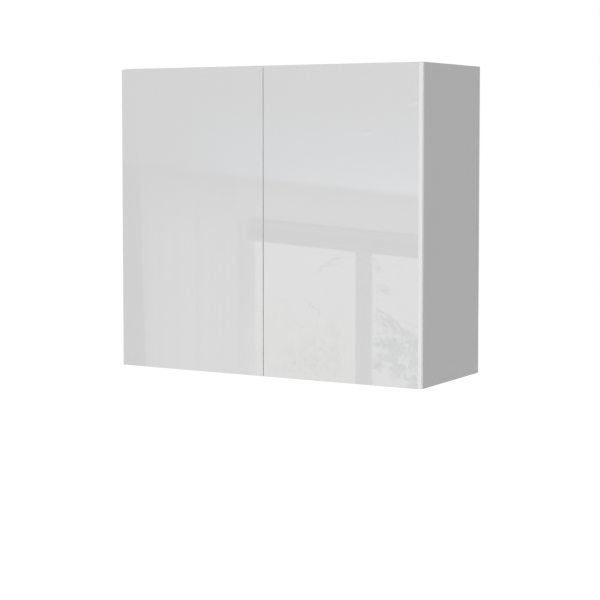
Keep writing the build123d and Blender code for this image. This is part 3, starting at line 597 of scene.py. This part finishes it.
# Places of the two ceiling lamps, and what they are seen as: height above the place, half length, half
# height and glow of a dark rim and a bright bowl
DOWNLIGHTS = ((-5.97, -0.094), (-5.385, 0.101))
LAMP_PARTS = ((0.02, 0.09, 0.008, 0.66), (0.0, 0.09, 0.008, 2.4))

# The least and the most of half a leaf's length, and of its width as a share of its length. Then how far
# its point is pinched
LEAF_LENGTHS = (0.007, 0.022)
LEAF_WIDTHS = (0.3, 0.75)
LEAF_PINCH = 0.3

# Half a twig's thickness, and how wide the leaves of a spray scatter as a share of its half size
TWIG_THICKNESS = 0.0045
SCATTER = 0.55

# Light and dark of the leaves behind the panes
TONES = (
    ((2.4, 2.5, 1.65), (1.65, 1.8, 1.15)),
    ((1.9, 1.92, 1.85), (0.9, 0.95, 0.9)),
    ((1.3, 1.6, 1.5), (0.0, 0.35, 0.35)),
    ((1.5, 1.7, 0.9), (0.8, 1.1, 0.4)),
    ((1.6, 1.7, 2.1), (1.3, 1.4, 1.9)),
)

# Twigs: both ends and tone
TWIGS = (
    (0.91, -1.03, 1.12, -0.96, 1),
    (1.07, -0.96, 1.27, -0.93, 1),
    (0.69, -1.24, 0.75, -1.27, 1),
    (0.46, -1.32, 0.54, -1.37, 1),
    (0.76, -1.29, 0.9, -1.32, 1),
    (0.56, -1.42, 0.73, -1.47, 1),
    (1.03, -1.39, 1.22, -1.48, 1),
    (0.9, -1.58, 1.05, -1.63, 1),
    (1.62, -0.92, 1.75, -1.02, 1),
    (1.63, -1.09, 1.8, -1.14, 1),
    (1.66, -1.14, 1.8, -1.1, 1),
    (1.63, -1.25, 1.8, -1.28, 2),
    (1.8, -1.28, 2.04, -1.4, 2),
    (1.63, -1.34, 1.9, -1.36, 2),
    (1.9, -1.36, 2.2, -1.4, 2),
    (1.69, -1.28, 1.8, -1.41, 1),
    (1.8, -1.29, 1.88, -1.4, 2),
    (1.96, -1.3, 2.2, -1.34, 1),
    (1.63, -1.42, 1.85, -1.38, 1),
    (1.63, -1.47, 2.07, -1.44, 2),
)

# Sprays of leaves: middle, half sizes, slope, number of leaves and tone
SPRAYS = (
    (1.05, -1.0, 0.12, 0.02, 0.2, 12, 1),
    (0.42, -1.3, 0.05, 0.03, 0.0, 14, 0),
    (0.83, -1.3, 0.08, 0.02, -0.2, 8, 1),
    (0.28, -1.42, 0.12, 0.03, 0.0, 14, 0),
    (0.5, -1.46, 0.08, 0.03, 0.0, 16, 0),
    (1.08, -1.44, 0.14, 0.05, -0.3, 44, 0),
    (0.8, -1.57, 0.1, 0.05, 0.1, 60, 0),
    (0.53, -1.66, 0.1, 0.05, 0.1, 56, 0),
    (0.78, -1.7, 0.08, 0.05, 0.1, 46, 0),
    (0.49, -1.79, 0.22, 0.04, 0.1, 80, 0),
    (0.8, -1.7, 0.42, 0.11, 0.1, 110, 0),
    (0.9, -1.68, 0.36, 0.1, 0.1, 70, 1),
    (1.12, -1.61, 0.2, 0.07, 0.1, 70, 0),
    (1.2, -1.7, 0.12, 0.05, 0.1, 40, 0),
    (0.1, -1.7, 0.1, 0.06, 0.1, 22, 0),
    (1.66, -0.97, 0.06, 0.05, -0.4, 16, 1),
    (1.75, -1.12, 0.12, 0.04, 0.0, 26, 1),
    (1.72, -1.32, 0.12, 0.04, -0.2, 36, 1),
    (1.98, -1.38, 0.14, 0.03, -0.1, 34, 1),
    (1.83, -1.31, 0.06, 0.025, -0.2, 34, 2),
    (2.0, -1.37, 0.1, 0.02, -0.2, 26, 2),
    (1.8, -1.46, 0.14, 0.035, 0.1, 120, 2),
    (2.11, -1.44, 0.09, 0.05, 0.1, 80, 2),
    (1.92, -1.5, 0.1, 0.05, 0.1, 110, 2),
    (2.12, -1.54, 0.08, 0.06, 0.1, 80, 2),
    (1.81, -1.55, 0.13, 0.02, 0.1, 50, 3),
    (1.7, -1.61, 0.07, 0.035, 0.1, 50, 2),
    (1.94, -1.61, 0.1, 0.045, 0.1, 90, 2),
    (2.12, -1.67, 0.06, 0.06, 0.1, 60, 2),
    (1.9, -1.67, 0.04, 0.02, 0.1, 18, 4),
    (1.65, -1.7, 0.04, 0.04, 0.0, 14, 1),
    (2.4, -1.5, 0.2, 0.12, 0.0, 110, 2),
    (2.7, -1.4, 0.2, 0.15, 0.3, 110, 2),
)


def ramp(value, start, end):
    """A straight slope from 0 at start to 1 at end."""
    return np.clip((value - start) / (end - start), 0, 1)


def after(value, edge):
    """0 before an edge and 1 past it."""
    return ramp(value, edge - SHARP, edge + SHARP)


def under(value, edge):
    """1 before or below an edge and 0 past it."""
    return ramp(value, edge + SHARP, edge - SHARP)


def over(glow, paint, share):
    """A glow with another laid over it by a share."""
    return glow + (paint - glow) * share


def cornice(along):
    """Height of the edge between wall and ceiling, which runs slightly downhill and ends level."""
    start, height, slope = CORNICE
    return height + slope * np.clip(along - start, *CORNICE_STRETCH)


def from_window(along):
    """Distance from the start of the window that a place belongs to, negative on the curtain's side."""
    starts = np.array(WINDOWS)
    number = np.clip(np.searchsorted(starts - WINDOW_LEAD, along) - 1, 0, len(starts) - 1)
    return along - starts[number]


def to_brightest(along):
    """Share of the way from the cornice's place to the brightest part of the room."""
    return np.clip((along - CORNICE[0]) / ROOM_LENGTH, 0, 1)


def ceiling_light(along, above):
    """The ceiling's red, green and blue. Its glow rises straight towards the brightest part. Near the wall
    it has more, which falls off as e to the power of minus the distance. Away from the brightest part, a
    shade with its own such fall-off lies along the wall. Towards it, the ceiling is bluer near the wall."""
    share = to_brightest(along)
    above = np.maximum(above, 0)
    even, gain = CEILING
    near, near_gain, fade = CEILING_NEAR_WALL
    red = even + gain * share + (near + near_gain * share) * np.exp(-above / fade)
    shade, fade = CEILING_SHADE
    red = red - shade * ramp(share, *CEILING_SHADE_ENDS) * np.exp(-above / fade)
    cool = CEILING_BLUE * ramp(share, *CEILING_BLUE_SHARES) * ramp(above, *CEILING_BLUE_DISTANCES)
    return np.stack([red, red + CEILING_GREEN * cool, red + cool])


def bare_wall(past, share, depth):
    """The wall, which brightens straight downwards up to a limit, and its part beside the window, which
    brightens more slowly."""
    least, gain, rise, loss, most = WALL
    glow = np.minimum(least + gain * share + (rise - loss * share) * depth, most)
    least, rise = PIER
    return over(glow, least + rise * depth, after(past, CURTAIN[1]) * ramp(depth, *PIER_DEPTHS))


def curtain(past, share, depth, glow):
    """The curtain over the wall. Its cloth lacks glow at its dark side and at the cornice, and each lack
    falls off as e to the power of minus the distance. Its creases are bell curves and its ripples a sum of
    sines."""
    full, lack, fade = CLOTH
    lit = full - lack * np.exp(-np.maximum(past - CURTAIN[0], 0) / fade)
    least, gain, fade = CLOTH_AT_CORNICE
    cloth = lit - (lit - least - gain * share) * np.exp(-depth / fade)
    glow = over(glow, cloth, after(past, CURTAIN[0]) * under(past, CURTAIN[1]))
    creases = sum(np.exp(-(((past - place) / CREASE_WIDTH) ** 2)) for place in CREASES)
    ripple = sum(high * np.sin(2 * np.pi * past / long + shift) for long, high, shift in RIPPLES)
    folds = RIPPLE_DEPTH * ripple - CREASE_DEPTH * creases
    return glow + folds * ramp(depth, *FOLD_DEPTHS) * ramp(past, -SHARP, -2 * SHARP)


def dark_corner(past, depth, glow):
    """The corner of the room beside the curtain, which leans, and is darker in its far part."""
    corner = CURTAIN[0] + CORNER_LEAN * depth
    dark = ramp(past, corner + 2 * SHARP, corner - 2 * SHARP)
    glow = over(glow, CORNER_GLOW, dark)
    start, full = CORNER_FAR
    return over(glow, CORNER_FAR_GLOW, dark * ramp(past, corner - start, corner - full))


def window_frame(past, height, depth, glow):
    """The lintel in its steps, and under it the bars and the jamb."""
    start, end = LINTEL_ENDS
    wide = after(past, start) * under(past, end)
    for top, fall, level in LINTEL:
        glow = over(glow, level, wide * under(height + fall * past, top))
    low = under(height, PANE_TOP)
    glow = over(glow, BAR_GLOW, ramp(past, -2 * SHARP, -SHARP) * under(past, end) * low)
    least, rise = JAMB
    return over(glow, least + rise * depth, after(past, start) * ramp(past, -SHARP, -2 * SHARP) * low)


def wall_light(along, height):
    """Red, green and blue of all below the cornice: the wall, the curtain, the dark corner, the window's
    frame and its panes, each laid over the last. The sky in a window's first pane is hazy below."""
    past, share = from_window(along), to_brightest(along)
    depth = np.maximum(cornice(along) - height, 0)
    glow = bare_wall(past, share, depth)
    glow = curtain(past, share, depth, glow)
    glow = dark_corner(past, depth, glow)
    glow = window_frame(past, height, depth, glow)
    light = np.stack([glow, glow, glow])
    for start, end in PANES:
        haze = ramp(height, *HAZE_HEIGHTS) * (start == PANES[0][0])
        sky = np.stack([SKY - part * haze for part in HAZE])
        light = over(light, sky, after(past, start) * under(past, end) * under(height, PANE_TOP))
    return light


def room_light(along, height):
    """Red, green and blue of the room: the ceiling above the cornice, softly joined to the wall below it."""
    above = height - cornice(along)
    low = ramp(above, CORNICE_SOFT, -CORNICE_SOFT)
    return over(ceiling_light(along, above), wall_light(along, height), low)


def lines(start, end, step, edges):
    """Even grid lines, with two close pairs at each sharp edge."""
    even = np.arange(start, end + step / 2, step)
    pairs = [np.array([edge - 2 * SHARP, edge - SHARP, edge + SHARP, edge + 2 * SHARP]) for edge in edges]
    return np.unique(np.concatenate([even, *pairs]))


def polygons(name, points, faces):
    """A mesh object from an array of points and an array of faces that all have as many corners."""
    count, corners = faces.shape
    mesh = bpy.data.meshes.new(name)
    mesh.vertices.add(len(points))
    mesh.vertices.foreach_set("co", points.astype(np.float32).ravel())
    mesh.loops.add(faces.size)
    mesh.loops.foreach_set("vertex_index", faces.ravel().astype(np.int32))
    mesh.polygons.add(count)
    mesh.polygons.foreach_set("loop_start", np.arange(0, faces.size, corners, dtype=np.int32))
    mesh.update(calc_edges=True)
    made = bpy.data.objects.new(name, mesh)
    bpy.context.scene.collection.objects.link(made)
    return made


def grid_mesh(name, x, y, z):
    """A surface from three arrays of its grid's coordinates, each quad joining four neighbours."""
    rows, columns = x.shape
    numbers = np.arange(rows * columns).reshape(rows, columns)
    faces = np.stack([numbers[:-1, :-1], numbers[:-1, 1:], numbers[1:, 1:], numbers[1:, :-1]], -1)
    return polygons(name, np.stack([x, y, z], -1).reshape(-1, 3), faces.reshape(-1, 4))


def on_card(along, height, forward=0.0):
    """The world's x, y and z of places on the card, some distance in front of it."""
    cosine, sine = math.cos(ROOM_TURN), math.sin(ROOM_TURN)
    away = ROOM_DISTANCE - forward
    x = cosine * along + sine * away
    y = sine * along - cosine * away + CAD_BOX[0][1]
    return x, y, height + 0 * along


def glowing(made, light):
    """Make an object shine with a colour for each of its points, seen by mirrored rays only."""
    glow = made.data.color_attributes.new("glow", "FLOAT_COLOR", "POINT")
    rgba = np.concatenate([light.reshape(3, -1), np.ones((1, light[0].size))]).T
    glow.data.foreach_set("color", rgba.astype(np.float32).ravel())
    material = bpy.data.materials.new(f"{made.name}_glow")
    material.use_nodes = True
    material.cycles.emission_sampling = "NONE"
    tree = material.node_tree
    tree.nodes.clear()
    seen = add(tree, "ShaderNodeAttribute", attribute_name="glow").outputs["Color"]
    shine = add(tree, "ShaderNodeEmission", {"Color": seen, "Strength": 1.0}).outputs[0]
    add(tree, "ShaderNodeOutputMaterial", {"Surface": shine})
    made.data.materials.append(material)
    for way in ("camera", "diffuse", "transmission", "volume_scatter", "shadow"):
        setattr(made, f"visible_{way}", False)
    return made


def room_card():
    """The mirrored room on an upright grid. Its columns stand closer over the curtains and at each upright
    edge. Its rows are level below, follow the cornice above, and sink with the lintel's upper edge."""
    edges = (CURTAIN[1], *LINTEL_ENDS, *PANES[0], *PANES[1])
    coarse = lines(*ROOM_SPAN, COLUMN_STEP, [start + edge for start in WINDOWS for edge in edges])
    cloth = (CURTAIN[0] - CLOTH_LEAD, CLOTH_PAST)
    fine = [np.arange(start + cloth[0], start + cloth[1], CLOTH_STEP) for start in WINDOWS]
    columns = np.unique(np.concatenate([coarse, *fine]))
    low, high = LEVEL_ROWS
    level = lines(ROOM_HEIGHTS[0], low - ROW_STEP, LOW_ROW_STEP, [step[0] for step in LINTEL] + [PANE_TOP])
    close = np.arange(low, CLOSE_ROWS_END, ROW_STEP)
    far = np.arange(CLOSE_ROWS_END + FAR_ROW_STEP / 2, ROOM_HEIGHTS[1], FAR_ROW_STEP)
    along, row = np.meshgrid(columns, np.concatenate([level, close, far]))
    height = row + (cornice(along) - CORNICE[1]) * ramp(row, low, high)
    sunk = LINTEL[0][1] * np.clip(from_window(along), *LINTEL_ENDS)
    last, first = LINTEL[1][0] - 2 * SHARP, LINTEL[0][0] + 2 * SHARP
    sunk = sunk * ramp(row, last - SINK_FADE, last) * ramp(row, first + SINK_FADE, first)
    height = height - sunk
    card = grid_mesh("mirrored_room", *on_card(along, height))
    return glowing(card, room_light(along, height))


def flakes(places, longs, thins, leans, pinch):
    """The outlines of many flat shapes, as arrays of their places along and up. Each is an ellipse of a few
    points, long and thin, pinched by a share of the cosine, leaned and set at its place."""
    turn = np.arange(OUTLINE_POINTS) * 2 * np.pi / OUTLINE_POINTS
    across = longs[:, None] * np.cos(turn)
    rise = thins[:, None] * np.sin(turn) * (1 - pinch * np.cos(turn))
    cosine, sine = np.cos(leans)[:, None], np.sin(leans)[:, None]
    return places[:, :1] + cosine * across - sine * rise, places[:, 1:] + sine * across + cosine * rise


def shining(name, along, height, light):
    """One mesh of flat shapes just in front of the card, each a little before the last."""
    order = np.arange(len(along))[:, None] * SHAPE_GAP
    points = np.stack(on_card(along, height, SHAPES_FORWARD + order), -1).reshape(-1, 3)
    made = polygons(name, points, np.arange(along.size).reshape(along.shape))
    return glowing(made, np.repeat(light, OUTLINE_POINTS, axis=0).T)


def leaves():
    """The leaves and twigs behind the panes of each window, the leaves at random within their sprays."""
    random = np.random.default_rng(11)
    parts = []
    for x0, z0, x1, z1, tone in TWIGS:
        long, lean = math.hypot(x1 - x0, z1 - z0) / 2, math.atan2(z1 - z0, x1 - x0)
        middle = [[(x0 + x1) / 2, (z0 + z1) / 2]]
        parts.append((np.array(middle), [long], [TWIG_THICKNESS], [lean], np.array(TONES[tone])[1:]))
    for x, z, wide, high, slope, count, tone in SPRAYS:
        light, dark = np.array(TONES[tone])
        across = random.normal(0, SCATTER, count) * wide
        rise = slope * across + random.normal(0, SCATTER, count) * high
        long = random.uniform(*LEAF_LENGTHS, count)
        thin = long * random.uniform(*LEAF_WIDTHS, count)
        lean = random.uniform(0, np.pi, count)
        tints = dark + (light - dark) * random.uniform(0, 1, (count, 1))
        parts.append((np.stack([x + across, z + rise], -1), long, thin, lean, tints))
    place, long, thin, lean, light = (np.concatenate(part) for part in zip(*parts))
    past, height = flakes(place, long, thin, lean, LEAF_PINCH)
    inside = np.zeros(len(past), bool)
    for start, end in PANES:
        inside |= (past.min(axis=1) > start + SHARP) & (past.max(axis=1) < end - SHARP)
    inside &= height.max(axis=1) < PANE_TOP - SHARP
    along = np.concatenate([past[inside] + start for start in WINDOWS])
    height, light = (np.tile(part[inside], (len(WINDOWS), 1)) for part in (height, light))
    return shining("mirrored_leaves", along, height, light)


def downlights():
    """The two ceiling lamps, each a dark rim and a bright bowl."""
    rise, long, thin, glow = (np.repeat(part, len(DOWNLIGHTS)) for part in zip(*LAMP_PARTS))
    place = np.tile(DOWNLIGHTS, (len(LAMP_PARTS), 1)) + np.stack([0 * rise, rise], -1)
    along, height = flakes(place, long, thin, 0 * rise, 0)
    return shining("mirrored_downlights", along, height, np.stack([glow, glow, glow], -1))


# Stage

# The floor's half width, and the two parts of the white that the camera sees: what keeps a shadow, and what
# brings it up to white
FLOOR_REACH = 20.0
FLOOR_SHADE = (0.3, 0.3, 0.3)
FLOOR_SHINE = 0.81

# The even light's strength, the lamps' directions and strengths, and their spread in degrees
WORLD_LEVEL = 0.615
LAMPS = (("front_fill", (0.62, -0.74, 0.26), 0.785), ("side_fill", (0.9, 0.15, 0.4), 0.5))
LAMP_SPREAD = 50

# The camera's place, how many degrees it looks down and is turned, its lens in mm, and the shift that puts
# the cabinet where the photograph has it
CAMERA_PLACE = (2.0033, -3.6081, -0.1145)
CAMERA_DOWN, CAMERA_TURN = 3.314, 30.076
LENS, SHIFT = 100.35, -0.11


def seen_directly(tree):
    """1 for rays from the camera, a mirror or clear plastic, and else 0."""
    path = add(tree, "ShaderNodeLightPath")
    seen = path.outputs["Is Camera Ray"]
    for kind in ("Is Glossy Ray", "Is Transmission Ray"):
        seen = add(tree, "ShaderNodeMath", {0: seen, 1: path.outputs[kind]}, operation="MAXIMUM").outputs[0]
    return seen


def floor(drop):
    """A pale floor far below, white to the camera, which keeps the cabinet's soft shadow."""
    ends = [-FLOOR_REACH, FLOOR_REACH]
    x, y = np.meshgrid(ends, ends)
    made = grid_mesh("floor", x, y, np.full_like(x, CAD_BOX[0][2] - drop))
    material, tree, shader, _ = blank("pale_matt_floor", Roughness=0.9)
    material.cycles.emission_sampling = "NONE"
    shader.inputs["Base Color"].default_value = (*linear("f0f0f0"), 1)
    lit = add(tree, "ShaderNodeBsdfDiffuse", {"Color": (*FLOOR_SHADE, 1)}).outputs[0]
    shine = add(tree, "ShaderNodeEmission", {"Strength": FLOOR_SHINE}).outputs[0]
    white = add(tree, "ShaderNodeAddShader", {0: lit, 1: shine}).outputs[0]
    choice = {0: seen_directly(tree), 1: shader.outputs[0], 2: white}
    both = add(tree, "ShaderNodeMixShader", choice).outputs[0]
    out = next(n for n in tree.nodes if n.type == "OUTPUT_MATERIAL")
    tree.links.new(both, out.inputs["Surface"])
    made.data.materials.append(material)
    return made


def world_light(level):
    """Even light from all round, white where the camera, a mirror or clear plastic sees it."""
    world = bpy.data.worlds.new("studio")
    bpy.context.scene.world = world
    world.use_nodes = True
    tree = world.node_tree
    tree.nodes.clear()
    lamp_or_white = {0: seen_directly(tree), MIX_VALUE_A: level, MIX_VALUE_B: 1.0}
    strength = add(tree, "ShaderNodeMix", lamp_or_white).outputs[MIX_VALUE]
    back = add(tree, "ShaderNodeBackground", {"Color": (1, 1, 1, 1), "Strength": strength}).outputs[0]
    add(tree, "ShaderNodeOutputWorld", {"Surface": back})


def lamp(name, toward, strength):
    """A far, wide, soft lamp that shines from a direction."""
    light = bpy.data.lights.new(name, "SUN")
    light.energy = strength
    light.angle = math.radians(LAMP_SPREAD)
    made = bpy.data.objects.new(name, light)
    made.rotation_mode = "QUATERNION"
    made.rotation_quaternion = Vector(toward).to_track_quat("Z", "Y")
    made.visible_glossy = False
    bpy.context.scene.collection.objects.link(made)


def camera():
    """A 100 mm lens, 30 degrees to the cabinet's right and 16 cm below its top."""
    lens = bpy.data.cameras.new("camera")
    lens.lens = LENS
    lens.shift_y = SHIFT
    lens.clip_start, lens.clip_end = 0.1, 100
    made = bpy.data.objects.new("camera", lens)
    made.location = CAMERA_PLACE
    made.rotation_euler = (math.radians(90 - CAMERA_DOWN), 0, math.radians(CAMERA_TURN))
    bpy.context.scene.collection.objects.link(made)
    bpy.context.scene.camera = made


class CABINET_OT_stage(bpy.types.Operator):
    """Set the floor, lamps, background, mirrored room and camera"""

    bl_idname = "cabinet.stage"
    bl_label = "Stage"

    def execute(self, context):
        context.scene.view_settings.view_transform = "Standard"
        for piece in (floor(context.scene.cabinet_sizes.floor_drop), room_card(), leaves(), downlights()):
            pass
        world_light(WORLD_LEVEL)
        for name, toward, strength in LAMPS:
            lamp(name, toward, strength)
        camera()
        return {"FINISHED"}


OPERATORS = (
    CABINET_OT_stage,
    CABINET_OT_boards,
    CABINET_OT_bands,
    CABINET_OT_back,
    CABINET_OT_doors,
    CABINET_OT_hinges,
    CABINET_OT_fittings,
    CABINET_OT_hangers,
    CABINET_OT_latches,
)


class CABINET_PT_panel(bpy.types.Panel):
    """The cabinet's sizes, colours and operators"""

    bl_idname = "CABINET_PT_panel"
    bl_label = "Kitchen wall cabinet"
    bl_space_type = "VIEW_3D"
    bl_region_type = "UI"
    bl_category = "Cabinet"

    def draw(self, context):
        for group in (context.scene.cabinet_sizes, context.scene.cabinet_colours):
            for name in group.__annotations__:
                self.layout.prop(group, name)
        for operator in OPERATORS:
            self.layout.operator(operator.bl_idname)


CLASSES = (CabinetColours, CabinetSizes, *OPERATORS, CABINET_PT_panel)


def register():
    for cls in CLASSES:
        bpy.utils.register_class(cls)
    bpy.types.Scene.cabinet_colours = PointerProperty(type=CabinetColours)
    bpy.types.Scene.cabinet_sizes = PointerProperty(type=CabinetSizes)


def unregister():
    del bpy.types.Scene.cabinet_sizes
    del bpy.types.Scene.cabinet_colours
    for cls in reversed(CLASSES):
        bpy.utils.unregister_class(cls)


def main():
    """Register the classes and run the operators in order."""
    register()
    for operator in OPERATORS:
        group, name = operator.bl_idname.split(".")
        getattr(getattr(bpy.ops, group), name)()


if __name__ == "__main__":
    main()
